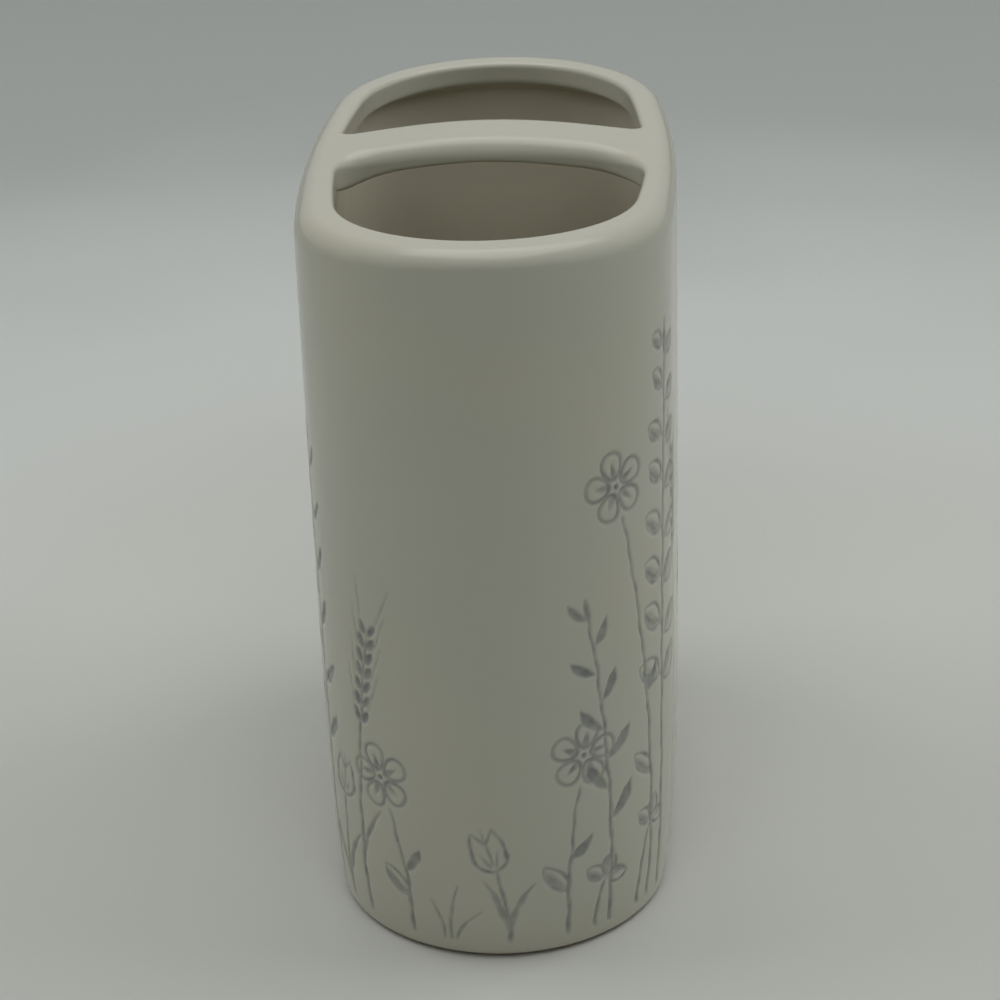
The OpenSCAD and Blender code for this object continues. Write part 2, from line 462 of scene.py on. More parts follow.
# The pressed meadow
#
# Plants are drawn on the unrolled wall, in mm across and up. Their numbers are mm, degrees, tones
# and shares of a stem's or leaf's size.


def bezier(points, share):
    """Points on a Bezier curve, and the direction there, for any number of control points."""
    points = np.asarray(points, float)
    n = len(points) - 1
    share = np.asarray(share, float)[:, None]
    weight = [math.comb(n, k) * share**k * (1 - share) ** (n - k) for k in range(n + 1)]
    slope = [math.comb(n - 1, k) * share**k * (1 - share) ** (n - 1 - k) for k in range(n)]
    place = sum(w * p for w, p in zip(weight, points))
    along = sum(w * (b - a) for w, a, b in zip(slope, points[:-1], points[1:]))
    return place, along / np.linalg.norm(along, axis=1, keepdims=True)


def spot(points, share):
    """One point on a Bezier curve, and the direction there."""
    place, along = bezier(points, [share])
    return place[0], along[0]


def turned(direction, degrees):
    """A direction in the wall's plane, turned anticlockwise."""
    a = math.radians(degrees)
    x, y = direction
    return np.array([x * math.cos(a) - y * math.sin(a), x * math.sin(a) + y * math.cos(a)])


def hand(run, phase, waves):
    """Sum of size sin(run / length + factor phase) over a few waves."""
    return sum(size * np.sin(run / length + factor * phase) for length, factor, size in waves)


def stroke(points, half_widths, tone=1.0, waver=0.1):
    """One pressed line, as overlapping discs: across, up, half width and tone of each.

    Sines of the distance along the line, with phases that follow its two ends, give it a hand's
    sway, width and pressure. The stain fades by half towards each end.
    """
    points = np.asarray(points, float)
    length = np.linalg.norm(np.diff(points, axis=0), axis=1).sum()
    share = np.linspace(0.0, 1.0, max(3, int(length / DISC_STEP)))
    place, along = bezier(points, share)
    run = share * length
    phase = points[0] @ START_WEIGHTS + points[-1] @ END_WEIGHTS
    sway = hand(run, phase, SWAY) * waver * min(1.0, length / FULL_SWAY)
    place = place + np.column_stack([-along[:, 1], along[:, 0]]) * sway[:, None]
    half = np.interp(share, np.linspace(0.0, 1.0, len(half_widths)), half_widths)
    half = half * (1.0 + hand(run, phase, WIDTH))
    press = MEAN_PRESS + hand(run, phase, PRESSURE)
    end = smooth(np.minimum(run, length - run), *END_FADE)
    return np.column_stack([place, half, tone * press * (0.5 + 0.5 * end)])


def leaf(base, direction, length, half, bend=0.0, tone=1.0):
    """A small filled leaf: a line that swells to its half width and narrows to a point."""
    middle = base + direction * length / 2.0 + turned(direction, 90) * bend
    return stroke([base, middle, base + direction * length], (0.14, half, half * 0.9, 0.1), tone)


def drawn_leaf(base, direction, length, half, tone=0.95):
    """A larger leaf drawn by its two edges and its midrib, and shaded on one side of that."""
    out = turned(direction, 90) * half
    rise = direction * length
    parts = []
    for side in (-1.0, 1.0):
        swell = (base + 0.2 * rise + 1.25 * side * out, base + 0.75 * rise + 1.2 * side * out)
        parts.append(stroke([base, *swell, base + rise], (0.24, 0.32, 0.2), tone))
    parts.append(stroke([base, base + 0.78 * rise], (0.22, 0.14), 0.8 * tone))
    shade = [base + up * rise + over * out for up, over in ((0.1, 0.2), (0.5, 0.85), (0.85, 0.2))]
    parts.append(stroke(shade, (0.2, 0.42 * half, 0.2), 0.8 * tone))
    return np.vstack(parts)


def beside(kind, points, share, degrees, **form):
    """A leaf that leaves a stem at a share of its length, turned away from it."""
    place, along = spot(points, share)
    return kind(place, turned(along, degrees), **form)


def ring(centre, out, reach, half_across, half=0.25, tone=0.95):
    """A long round petal outline that reaches outwards from a flower's middle."""
    angle = np.linspace(0.0, 2.0 * math.pi, max(16, int(reach * 38)))
    side = turned(out, 90)
    place = centre + np.outer(0.55 * reach * (1.0 - np.cos(angle)), out)
    place = place + np.outer(half_across * np.sin(angle) * (1.0 - 0.25 * np.cos(angle)), side)
    pressed = tone * (0.78 + 0.22 * np.cos(angle - 0.6))
    return np.column_stack([place, np.full(len(angle), half), pressed])


def dot(centre, radius, tone=1.1):
    """A round pressed dot."""
    return np.array([[centre[0], centre[1], radius, tone]])


def stem(across, height, lean, half=(0.42, 0.34, 0.24)):
    """Control points and line of a stem that starts upright and leans as it grows."""
    points = [(across, GROUND), (across - 0.2 * lean, 0.42 * height),
              (across + 0.35 * lean, 0.74 * height), (across + lean, height)]
    return points, stroke(points, half, 0.92, 0.13)


def olive(across, height, lean):
    """A sprig with slim leaves set on alternate sides."""
    points, line = stem(across, height, lean)
    count = max(5, int(height / 6.8))
    share = np.linspace(0.3, 0.97, count)
    place, along = bezier(points, share)
    yield line
    for k in range(count):
        side = 1 if k % 2 else -1
        size = 1.1 - 0.5 * share[k]
        out = turned(along[k], (38 + 9 * math.sin(4.1 * k)) * side)
        yield leaf(place[k] + out * 0.5, out, 7.8 * size, 1.15 * size, bend=0.9 * side)
    yield leaf(place[-1], along[-1], length=4.4, half=0.6)


def eucalyptus(across, height, lean):
    """A sprig with drawn round leaves on short stalks, smaller towards the tip."""
    points, line = stem(across, height, lean)
    count = max(4, int(height / 12.5))
    share = np.linspace(0.34, 0.93, count)
    place, along = bezier(points, share)
    yield line
    for k in range(count):
        size = 1.25 - 0.7 * share[k]
        for side in (-1, 1):
            out = turned(along[k], (54 + 8 * math.sin(2.7 * k + side)) * side)
            base = place[k] + along[k] * 1.2 * side
            yield stroke([base, base + out * 1.4], (0.2, 0.24), 0.8)
            yield drawn_leaf(base + out * 1.4, out, length=6.8 * size, half=2.3 * size)
    yield leaf(place[-1], along[-1], length=4.2, half=0.7)


def barley(across, height, lean):
    """An ear of grain: drop-shaped grains up both sides, every other with a long thin whisker."""
    points, line = stem(across, height, lean)
    share = np.linspace(1.0 - 19.0 / height, 1.0, 7)
    place, along = bezier(points, share)
    yield line
    for k in range(len(share)):
        for side in (-1, 1):
            out = turned(along[k], 28 * side)
            yield leaf(place[k] + out * 0.5, out, 2.9, 0.7, bend=0.2 * side, tone=1.1)
            if k % 2 == 0:
                tip = place[k] + turned(along[k], 19 * side) * 10.5
                yield stroke([place[k] + out * 3.8, tip], (0.2, 0.14), 0.6)
    yield beside(leaf, points, 0.16, -24, length=13.0, half=0.5, bend=1.6, tone=0.7)


def blossom(across, height, lean, petals=5, size=5.6):
    """A flower with outlined petals about a dotted middle, and two leaves on its stem."""
    points, line = stem(across, height - size, lean)
    head, up = spot(points, 1.0)
    centre = head + up * size
    yield line
    yield dot(centre, 0.5)
    for k in range(petals):
        out = turned(up, 180 + 180 / petals + k * 360 / petals)
        yield ring(centre + out * 1.3, out, reach=4.0, half_across=1.85, half=0.34)
        yield stroke([centre + out * 1.7, centre + out * 4.0], (0.75, 0.16), 0.85)
    yield beside(drawn_leaf, points, 0.3, 42, length=6.6, half=1.5)
    yield beside(leaf, points, 0.5, -40, length=5.6, half=0.9, bend=-0.8)


def tulip(across, height, lean):
    """A closed bud of three outlined petals between two long blades."""
    points, line = stem(across, height - 7.0, lean)
    base, rise = spot(points, 1.0)
    right = turned(rise, -90)
    yield line
    for side in (-1, 1):
        out = right * side
        cheek = [base, base + out * 4.4 + rise * 0.8, base + out * 2.6 + rise * 5.4,
                 base + out * 1.7 + rise * 7.6]
        notch = [cheek[-1], base + out * 0.8 + rise * 6.2, base + rise * 5.0]
        fold = [base + out * 0.5 + rise * 0.9, base + out * 1.5 + rise * 3.6]
        yield stroke(cheek, (0.3, 0.34, 0.2))
        yield stroke(notch, (0.2, 0.26), 0.9)
        yield stroke(fold, (0.3, 0.12), 0.85)
    yield stroke([base + rise * 1.2, base + rise * 8.0], (0.3, 0.24, 0.14), 0.85)
    yield beside(leaf, points, 0.06, 24, length=0.5 * height, half=0.6, bend=-1.6, tone=0.75)
    yield beside(leaf, points, 0.16, -26, length=0.42 * height, half=0.55, bend=1.5, tone=0.75)


def clover(across, height, lean):
    """Three drawn leaflets on one stalk."""
    points, line = stem(across, height, lean)
    head, up = spot(points, 1.0)
    yield line
    for degrees in (-72, 3, 76):
        out = turned(up, degrees)
        yield drawn_leaf(head + out * 0.4, out, length=4.1, half=1.5)


def grass(across, height, lean):
    """Tapering blades that fan out from one spot."""
    for start, fan, tall in ((-1.0, -0.3, 0.75), (0.0, 0.04, 1.0), (1.0, 0.33, 0.66)):
        bend = (across + 0.2 * fan * height, 0.6 * tall * height)
        tip = (across + lean + fan * height, tall * height)
        yield stroke([(across + start, GROUND), bend, tip], (0.3, 0.3, 0.14), 0.8)


# Kind, place along the wall from the middle of the front end, height and lean, all in mm.
PLANTING = (
    (eucalyptus, 34, 103, 2), (blossom, 30, 80, -7), (olive, 20, 60, -4), (barley, 43, 78, -2),
    (blossom, 12, 36, 2), (clover, 27, 18, 3), (tulip, 2, 24, -2), (grass, -8, 14, 1),
    (blossom, -15, 31, -3), (barley, -25, 55, 4), (clover, 17, 12, 2),
    (olive, -36, 84, -3), (tulip, -31, 30, 1), (grass, -43, 24, 1),
    (olive, -54, 88, 4), (blossom, -66, 42, 3), (barley, -78, 66, -3),
    (olive, -92, 76, 3), (blossom, -106, 46, -3), (barley, -121, 60, -3),
    (blossom, 138, 40, 2), (olive, 126, 74, -4),
    (tulip, 112, 38, 3), (blossom, 98, 44, 3),
    (olive, 84, 72, -3), (tulip, 70, 33, 1), (blossom, 57, 50, 2),
)


def pressed_meadow(columns, rows, step_across, step_up, base):
    """Groove depth and stain on the wall's lattice, each from 0 to 1.

    Every disc of every stroke marks the lattice points round it. With d the distance outside the
    disc's rim, the groove follows a smooth step from d = 0.16 mm down to d = -0.42 mm, the stain a
    steeper one, and each point keeps the largest value that reaches it.
    """
    discs = [part for kind, *place in PLANTING for part in kind(*place)]
    place_across, place_up, half, tone = np.vstack(discs).T[:, :, None]
    across = place_across / step_across + FRONT_END * columns
    up = (place_up - base) / step_up
    grid = np.arange(-DISC_REACH, DISC_REACH + 1)
    shift_c, shift_r = [g.ravel() for g in np.meshgrid(grid, grid)]
    cells_c = np.rint(across).astype(int) + shift_c
    cells_r = np.rint(up).astype(int) + shift_r
    inward = half - np.hypot((cells_c - across) * step_across, (cells_r - up) * step_up)
    deep = smooth(inward, -OUTSIDE_RIM, GROOVE_INSIDE)
    dark = smooth(inward, -OUTSIDE_RIM, STAIN_INSIDE) * tone
    on_wall = (cells_r >= 0) & (cells_r <= rows)
    flat = (np.mod(cells_c, columns) * (rows + 1) + cells_r)[on_wall]
    marks = np.zeros((2, columns * (rows + 1)))
    for mark, value in zip(marks, (deep, dark)):
        np.maximum.at(mark, flat, value[on_wall])
    return marks.reshape(2, columns, rows + 1)


# The glazed surface


def grown(mask):
    """A mask of cells with its eight neighbours added, closed round the plan."""
    wide = mask | np.roll(mask, 1, 0) | np.roll(mask, -1, 0)
    tall = wide.copy()
    tall[:, 1:] |= wide[:, :-1]
    tall[:, :-1] |= wide[:, 1:]
    return tall


def halved(mask):
    """A mask with half as many cells each way: marked where any of its four cells is."""
    return mask[0::2, 0::2] | mask[1::2, 0::2] | mask[0::2, 1::2] | mask[1::2, 1::2]


def doubled(mask):
    """A mask with twice as many cells each way."""
    return np.repeat(np.repeat(mask, 2, 0), 2, 1)


def graded_cells(fine):
    """Cells in sizes from 1 to FINE, small only where the fine mask asks, each at most twice its
    neighbour.

    A cell whose neighbour is smaller is cut into triangles round its middle, through the halfway
    points of those sides, so that no gap opens. Returns quads and triangles of lattice points.
    """
    columns, rows = fine.shape
    splits = [halved(fine)]
    while 2 ** len(splits) < FINE:
        splits.append(halved(grown(splits[-1])))
    quads, triangles = [], []

    def name(column, row):
        return np.mod(column, columns) * (rows + 1) + row

    for level in range(len(splits) + 1):
        size = 2**level
        cells = ~splits[-1] if level == len(splits) else doubled(splits[level])
        split = splits[level - 1] if level else None
        if level and level < len(splits):
            cells = cells & ~split
        c, r = np.nonzero(cells)
        left, right, low, high = c * size, (c + 1) * size, r * size, (r + 1) * size
        corners = np.column_stack([name(left, low), name(right, low),
                                   name(right, high), name(left, high)])
        if split is None:
            quads.append(corners)
            continue
        none = np.zeros((split.shape[0], 1), bool)
        sides = (
            np.hstack([none, split[:, :-1]])[c, r],
            np.roll(split, -1, 0)[c, r],
            np.hstack([split[:, 1:], none])[c, r],
            np.roll(split, 1, 0)[c, r],
        )
        half = size // 2
        middles = (name(left + half, low), name(right, low + half),
                   name(left + half, high), name(left, low + half))
        centre = name(left + half, low + half)
        plain = ~np.any(sides, axis=0)
        quads.append(corners[plain])
        for k in range(4):
            a, b, m = corners[:, k], corners[:, (k + 1) % 4], middles[k]
            whole = ~plain & ~sides[k]
            cut = sides[k]
            triangles.append(np.column_stack([centre, a, b])[whole])
            triangles.append(np.column_stack([centre, a, m])[cut])
            triangles.append(np.column_stack([centre, m, b])[cut])
    return np.vstack(quads), np.vstack(triangles)


def grid_quads(number, ahead):
    """Quads between the rows of a grid, from each point to the one ahead of it in its row."""
    return np.stack([number[:-1], ahead[:-1], ahead[1:], number[1:]], -1).reshape(-1, 4)


class Surface:
    """Collects patches of points and faces that share their edge points by place."""

    def __init__(self):
        self.points, self.faces, self.count = [], [], 0
        # The inner mark shows the cavity, which the glaze paints with lighter, warmer bounce light.
        self.marks = {"stain": [], "inner": []}

    def add(self, points, faces, stain=0.0, inner=0.0):
        """A patch of points, with groups of faces that count them from its first."""
        self.points.append(points)
        for name, value in (("stain", stain), ("inner", inner)):
            self.marks[name].append(np.broadcast_to(value, len(points)))
        for group in faces:
            self.faces.extend((group + self.count).tolist())
        self.count += len(points)

    def add_grid(self, x, y, z, inner=0.0):
        """A grid of points, rows by columns, closed round its columns."""
        x, y, z = np.broadcast_arrays(x, y, z)
        number = np.arange(x.size).reshape(x.shape)
        quads = grid_quads(number, np.roll(number, -1, 1))
        self.add(np.stack([x, y, z], -1).reshape(-1, 3), [quads], inner=inner)

    def finish(self, name):
        """Merges the shared points, checks that the skin is closed, and turns it outwards."""
        mesh = bpy.data.meshes.new(name)
        mesh.from_pydata(np.vstack(self.points).tolist(), [], self.faces)
        for mark, values in self.marks.items():
            layer = mesh.attributes.new(mark, "FLOAT", "POINT")
            layer.data.foreach_set("value", np.concatenate(values))
        work = bmesh.new()
        work.from_mesh(mesh)
        bmesh.ops.remove_doubles(work, verts=work.verts, dist=MERGE_DISTANCE)
        if any(len(edge.link_faces) != 2 for edge in work.edges):
            raise RuntimeError("the glazed surface isn't closed")
        bmesh.ops.recalc_face_normals(work, faces=work.faces)
        for face in work.faces:
            face.smooth = True
        work.to_mesh(mesh)
        work.free()
        mesh.update()
        return mesh


class Opening:
    """The edge of one opening, rear for side 1 and front for side -1.

    It runs from the middle of the +x flare along the mouth's oval to the other flare, and back
    along the crossbar's side. Its points match those of deck_edge one by one, and the whole edge
    is then shifted across, because each opening was cut by hand.
    """

    def __init__(self, shell, side):
        s = shell.s
        rear = side > 0
        waist = 0.0 if rear else s.bar_waist
        bar_edge = s.bar_half + side * s.bar_shift - waist
        flares = (s.flare_rear, s.flare_rear) if rear else (s.flare_right, s.flare_left)
        (right_oval, right_bar), (left_oval, left_bar) = [
            self.quarter(shell, bar_edge, waist, flare) for flare in flares]
        mirror = np.array([-1.0, 1.0, -1.0, 1.0])
        edge = np.vstack([right_oval, left_oval[-2::-1] * mirror, left_bar[:0:-1] * mirror, right_bar])
        points, inward = edge[:, :2], edge[:, 2:]
        # The bar's roundings ease into the rim's as the edge turns away from the bar.
        near_bar = np.clip(inward[:, 1], 0.0, 1.0) ** 2
        self.across = between(s.rim_round, s.bar_round_rear if rear else s.bar_round_across, near_bar)
        self.down = between(s.rim_round, s.bar_round_rear if rear else s.bar_round_down, near_bar)
        rim_under = between(shell.rim_under, shell.side_under, inward[:, 0] ** 2)
        self.under = between(rim_under, shell.bar_under, near_bar)
        self.points = points * (1.0, side) + (s.rear_shift if rear else s.front_shift, 0.0)
        self.inward = inward * (1.0, side)

    def quarter(self, shell, bar_edge, waist, flare_r):
        """The edge from the middle of a flare to the opening's end, and from the bar's middle to
        that flare, as rows of x, y and the direction into the opening.

        The bar's side is straight but for the waist, by which its middle stands out.
        """
        mouth = shell.mouth
        flare_y = bar_edge + flare_r
        side_angle = math.asin(flare_y / mouth.r)
        flare_x = mouth.a - mouth.r + mouth.r * math.cos(side_angle) - flare_r
        turn = np.arange(FLARE_RING, HALF_RING // 2 + 1) / COLUMNS
        _, edge_y = shell.shoulder_edge(turn)
        _, _, nx, ny = shell.outer.at(turn)
        normal = np.arctan2(ny, nx)
        on_side = normal < shell.outer.join
        # On the side arcs the points keep their share of y, on the end arcs their share of angle.
        side_share = (edge_y - edge_y[0]) / (edge_y[on_side][-1] - edge_y[0])
        share = (normal - normal[0]) / (RIGHT_ANGLE - normal[0])
        end_share = (share - share[on_side][-1]) / (1.0 - share[on_side][-1])
        angle = np.where(on_side, between(side_angle, mouth.join, side_share),
                         between(mouth.join, RIGHT_ANGLE, end_share))
        radius = np.where(on_side, mouth.r, mouth.end)
        cos, sin = np.cos(angle), np.sin(angle)
        oval = np.column_stack([np.where(on_side, mouth.a - mouth.r, 0.0) + radius * cos,
                                np.where(on_side, 0.0, mouth.centre) + radius * sin, -cos, -sin])

        def flare(first, last, count):
            """Points on the flare's arc from one angle up to, but without, another."""
            angles = np.linspace(first, last, count + 1)[:-1]
            cos, sin = np.cos(angles), np.sin(angles)
            return np.column_stack([flare_x + flare_r * cos, flare_y + flare_r * sin, -cos, -sin])

        high = flare(-RIGHT_ANGLE / 2.0, 0.0, FLARE_RING)
        low = flare(-RIGHT_ANGLE, -RIGHT_ANGLE / 2.0, FLARE_BAR)
        bar_x = np.linspace(0.0, flare_x, BAR_SEGMENTS // 2 + 1)[:-1]
        bar_y = bar_edge + waist * (1.0 - shell.past_middle(bar_x))
        bar = np.column_stack([bar_x, bar_y, 0.0 * bar_x, 0.0 * bar_x + 1.0])
        return np.vstack([high, oval]), np.vstack([bar, low])

    def moved_out(self, distance):
        """The edge, moved out of the opening."""
        return self.points - self.inward * distance[:, None]


def deck_edge(ring_x, ring_y, side):
    """The outer edge of half the deck: half the ring, then the line along the crossbar."""
    ahead = np.arange(HALF_RING + 1) * side
    halves = []
    for end_x, share in zip((ring_x[0], ring_x[HALF_RING]), EVEN_SHARES):
        bar_x = np.linspace(0.0, end_x * share, BAR_SEGMENTS // 2 + 1)
        halves.append(np.append(bar_x, np.linspace(bar_x[-1], end_x, FLARE_BAR + 1)[1:-1]))
    right, left = halves
    line_x = np.append(left[:0:-1], right)
    return np.append(ring_x[ahead], line_x), np.append(ring_y[ahead], np.zeros(len(line_x)))


def add_deck(surface, ring, edges, height):
    """Fills the deck between its outer edge and each opening's by straight blending."""
    share = steps(DECK_ROWS)
    for side, edge in edges.items():
        outer_x, outer_y = deck_edge(*ring, side)
        x = between(outer_x, edge[:, 0], share)
        y = between(outer_y, edge[:, 1], share)
        surface.add_grid(x, y, height(x, y))


def add_opening(surface, shell, opening):
    """The cut edge of an opening: rounded top, upright face and rounded underside."""
    top = steps(EDGE_TOP_ROWS, RIGHT_ANGLE)
    low = steps(EDGE_LOW_ROWS, RIGHT_ANGLE)[::-1]
    middle = steps(EDGE_FACE_ROWS + 2)[1:-1]
    back_top = opening.across * (1.0 - np.sin(top))
    back_low = opening.under * (1.0 - np.sin(low))
    back = np.vstack([back_top, 0.0 * middle * opening.under, back_low])
    x = opening.points[:, 0] - opening.inward[:, 0] * back
    y = opening.points[:, 1] - opening.inward[:, 1] * back
    drop_top = opening.down * (1.0 - np.cos(top))
    drop_low = shell.thickness(x, y)[-EDGE_LOW_ROWS:] - opening.under * (1.0 - np.cos(low))
    drop_face = between(drop_top[-1], drop_low[0], middle)
    surface.add_grid(x, y, shell.deck(x, y) - np.vstack([drop_top, drop_face, drop_low]))


def closing(surface, x, y, z, centre, inner):
    """Closes a ring onto the straight line between the two end-arc centres."""
    share = steps(CLOSING_ROWS)
    line_y = np.clip(y, -centre, centre)
    surface.add_grid(between(x, 0.0, share), between(y, line_y, share), z, inner)


def renumbered(quads, triangles):
    """The lattice points that the faces use, and the faces counted in them."""
    used, inverse = np.unique(np.concatenate([quads.ravel(), triangles.ravel()]), return_inverse=True)
    return used, inverse[: quads.size].reshape(-1, 4), inverse[quads.size:].reshape(-1, 3)


def add_outside(surface, shell):
    """The foot, wall and shoulder on their graded lattice, with the meadow pressed in."""
    wide = COLUMNS * FINE
    tall = (FOOT_ROWS + WALL_ROWS + SHOULDER_ROWS) * FINE
    wall_low, wall_high = FOOT_ROWS * FINE, (FOOT_ROWS + WALL_ROWS) * FINE
    base = FOOT_PLANE + shell.s.foot_round
    step_up = (shell.straight_top - base) / (wall_high - wall_low) * MM_PER_METRE
    step_across = shell.outer.quarter * 4.0 / wide * MM_PER_METRE
    marks = np.zeros((2, wide, tall + 1))
    marks[:, :, wall_low:wall_high + 1] = pressed_meadow(
        wide, wall_high - wall_low, step_across, step_up, base * MM_PER_METRE)
    marked = np.any(marks > MARKED, axis=0)
    fine = marked[:, :-1] | marked[:, 1:]
    fine = fine | np.roll(fine, -1, 0)
    fine[:, : wall_low + EDGE_CELLS] = False
    fine[:, wall_high - EDGE_CELLS:] = False
    used, quads, triangles = renumbered(*graded_cells(fine))
    column, row = used // (tall + 1), used % (tall + 1)
    x, y, z, nx, ny = shell.outside(column / wide, row / FINE)
    depth, stain = marks[:, column, row]
    pressed = depth * shell.s.groove
    points = np.column_stack([x - nx * pressed, y - ny * pressed, z])
    surface.add(points, [quads, triangles], stain)


def add_rim(surface, shell, turn):
    """The deck with both openings cut in it, and its underside.

    Returns the height of the ring where the underside ends, how far the inner wall below it lies
    from the plan, and the undercut between the two.
    """
    _, _, nx, _ = shell.outer.at(turn)
    undercut = between(shell.end_undercut, shell.side_undercut, nx**2)
    lean_top = shell.lean(shell.top - shell.s.wall) - shell.s.wall
    roof_x, roof_y, _, _ = shell.outer.at(turn, lean_top - undercut)
    roof_x = roof_x + shell.drift(shell.top)
    openings = {side: Opening(shell, side) for side in (1, -1)}
    upper = {side: o.moved_out(o.across) for side, o in openings.items()}
    lower = {side: o.moved_out(o.under) for side, o in openings.items()}
    add_deck(surface, shell.shoulder_edge(turn), upper, shell.deck)
    add_deck(surface, (roof_x, roof_y), lower, shell.roof)
    for opening in openings.values():
        add_opening(surface, shell, opening)
    return shell.roof(roof_x, roof_y), lean_top, undercut


def add_cavity(surface, shell, turn, roof_z, lean_top, undercut):
    """The undercut below the rim, the inner wall, the floor's rounding and the floor.

    The undercut is a quarter ring. The inner wall follows the outer one a wall's thickness inside
    it, and eases into the undercut's lower edge with the eighth power of the height left.
    """
    bend = steps(UNDERCUT_ROWS, RIGHT_ANGLE)
    z_bend = roof_z - undercut * (1.0 - np.cos(bend))
    in_bend = lean_top - undercut * (1.0 - np.sin(bend))
    down = steps(INNER_ROWS)[1:]
    ease = (1.0 - down) ** shell.ease_power
    low = shell.floor_top + shell.floor_round
    z_wall = between(z_bend[-1], low, down)
    in_wall = between(shell.lean(z_wall) - shell.s.wall, lean_top, ease)
    turn_in = steps(FLOOR_BEND_ROWS, RIGHT_ANGLE)[1:]
    z_floor = low - shell.floor_round * np.sin(turn_in) + 0.0 * turn
    in_floor = in_wall[-1] - shell.floor_round * (1.0 - np.cos(turn_in))
    drift_top = shell.drift(shell.top)
    drift_wall = between(shell.drift(z_wall), drift_top, ease)
    drift = np.vstack([0.0 * z_bend + drift_top, drift_wall, 0.0 * z_floor + drift_wall[-1]])
    x, y, _, _ = shell.outer.at(turn, np.vstack([in_bend, in_wall, in_floor]))
    x = x + drift
    surface.add_grid(x, y, np.vstack([z_bend, z_wall, z_floor]), 1.0)
    closing(surface, x[-1], y[-1], shell.floor_top, shell.outer.centre, 1.0)


def add_underside(surface, shell, turn):
    """The foot ring, the step up into the recess and the recess's ceiling.

    The step is two quarter circles, each half the recess deep.
    """
    flat = steps(FOOT_RING_ROWS)
    bend = steps(RECESS_BEND_ROWS, RIGHT_ANGLE)[1:]
    foot_out = shell.lean(FOOT_PLANE) - shell.s.foot_round
    edge = -shell.ring_edge + 0.0 * turn
    half = shell.s.recess / 2.0
    inset = np.vstack([between(foot_out, edge, flat), edge - half * np.sin(bend),
                       edge - half * (2.0 - np.cos(bend))])
    z = np.vstack([0.0 * flat, half * (1.0 - np.cos(bend)), half * (1.0 + np.sin(bend))])
    x, y, _, _ = shell.outer.at(turn, inset)
    surface.add_grid(x, y, FOOT_PLANE + z)
    closing(surface, x[-1], y[-1], shell.recess_top, shell.outer.centre, 0.0)


def glazed_mesh(sizes):
    """The whole glazed skin as one closed mesh."""
    shell = Shell(sizes)
    surface = Surface()
    turn = np.arange(COLUMNS) / COLUMNS
    add_outside(surface, shell)
    roof = add_rim(surface, shell, turn)
    add_cavity(surface, shell, turn, *roof)
    add_underside(surface, shell, turn)
    return surface.finish("glazed_holder")


# Materials


class Finish:
    """A material under way: its tree, its shader and short ways to add nodes."""

    def __init__(self, name):
        self.material = bpy.data.materials.new(name)
        self.material.use_nodes = True
        self.tree = self.material.node_tree
        self.shader = self.tree.nodes["Principled BSDF"]
        self.place = self.node("ShaderNodeTexCoord").outputs["Object"]

    def node(self, kind, inputs=None, **settings):
        """A new node, each of whose inputs is linked to a socket or set to a value."""
        made = self.tree.nodes.new(kind)
        for key, value in settings.items():
            setattr(made, key, value)
        for key, value in (inputs or {}).items():
            if isinstance(value, bpy.types.NodeSocket):
                self.tree.links.new(value, made.inputs[key])
            else:
                made.inputs[key].default_value = value
        return made

    def noise(self, scale, detail):
        """Cloudy values that follow the place on the piece."""
        inputs = {"Vector": self.place, "Scale": scale, "Detail": detail}
        return self.node("ShaderNodeTexNoise", inputs).outputs["Fac"]

    def mark(self, name):
        """Values that the mesh carries at its points."""
        return self.node("ShaderNodeAttribute", attribute_name=name).outputs["Fac"]

    def maths(self, operation, first, second):
        """Two values worked together."""
        return self.node("ShaderNodeMath", {0: first, 1: second}, operation=operation).outputs[0]

    def spread(self, value, low, high, to_low=0.0, to_high=1.0, way="LINEAR"):
        """A value brought from one range to another and held inside it."""
        inputs = {"Value": value, "From Min": low, "From Max": high,
                  "To Min": to_low, "To Max": to_high}
        made = self.node("ShaderNodeMapRange", inputs, clamp=True, interpolation_type=way)
        return made.outputs["Result"]

    def mixed(self, share, *colours):
        """Two colours mixed by a share, each a socket or red, green and blue."""
        inputs = {MIX_SHARE: share}
        for key, colour in zip(MIX_COLOURS, colours):
            inputs[key] = colour if isinstance(colour, bpy.types.NodeSocket) else (*colour, 1.0)
        return self.node("ShaderNodeMix", inputs, data_type="RGBA").outputs[COLOUR_RESULT]

    def bump(self, height, strength, distance, **over):
        """Normals that follow a height, over other normals if they are given."""
        inputs = {"Height": height, "Strength": strength, "Distance": distance, **over}
        return self.node("ShaderNodeBump", inputs).outputs["Normal"]

    def dress(self, colour, rough, normal):
        """Gives the shader its colour, roughness and normals."""
        for name, value in (("Base Color", colour), ("Roughness", rough), ("Normal", normal)):
            self.tree.links.new(value, self.shader.inputs[name])
        return self.material


